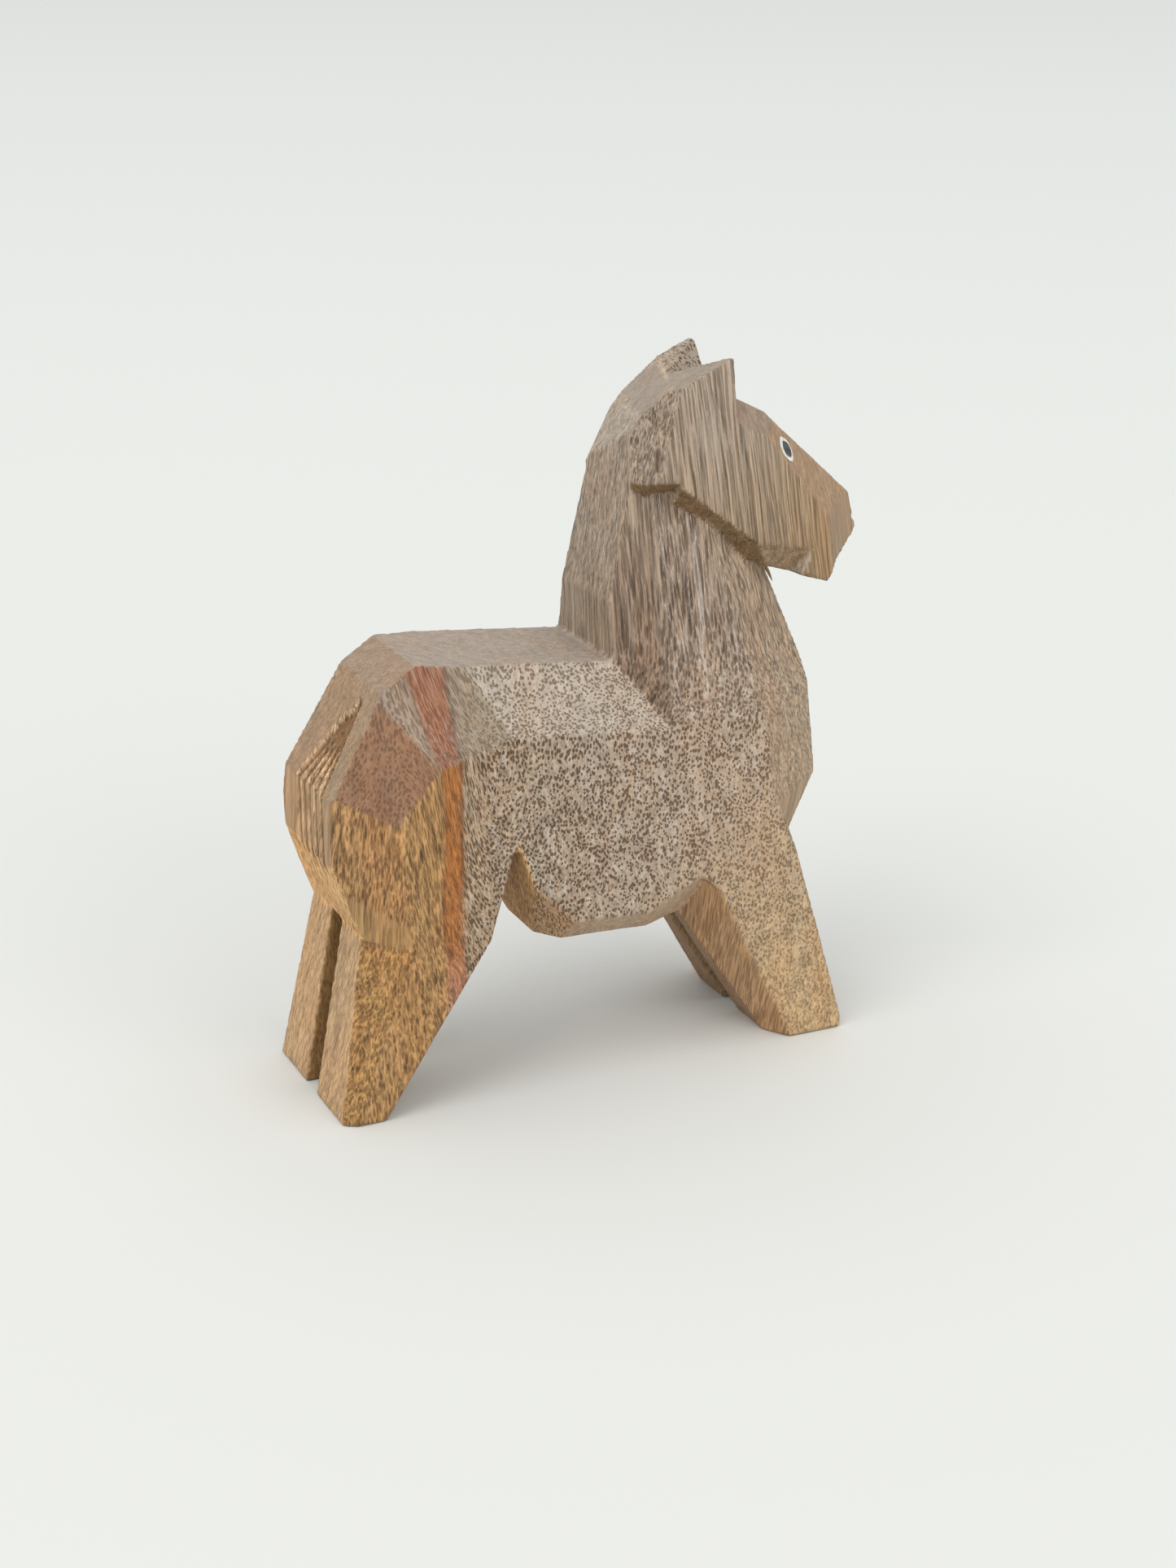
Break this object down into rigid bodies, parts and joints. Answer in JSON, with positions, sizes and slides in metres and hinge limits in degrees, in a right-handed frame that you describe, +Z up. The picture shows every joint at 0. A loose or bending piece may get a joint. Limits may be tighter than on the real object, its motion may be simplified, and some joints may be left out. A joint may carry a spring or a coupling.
{
  "type": "carved figurine",
  "caption": "Whittled wooden horse cut from one block, with a faceted body, carved tail grooves, pricked ears and painted eyes.",
  "frame": {"origin": "centre of the bounding box's underside, on the surface the hooves stand on", "axes": "+X from tail to nose, +Y to the horse's left, +Z up"},
  "size_m": [0.0744, 0.025, 0.089],
  "materials": {
    "wood": "matte",
    "white_paint": "satin",
    "dark_paint": "satin"
  },
  "bodies": {
    "root": {"carved_horse": "wood", "eye_white_left": "white_paint", "eye_white_right": "white_paint", "pupil_left": "dark_paint", "pupil_right": "dark_paint"}
  },
  "joints": []
}
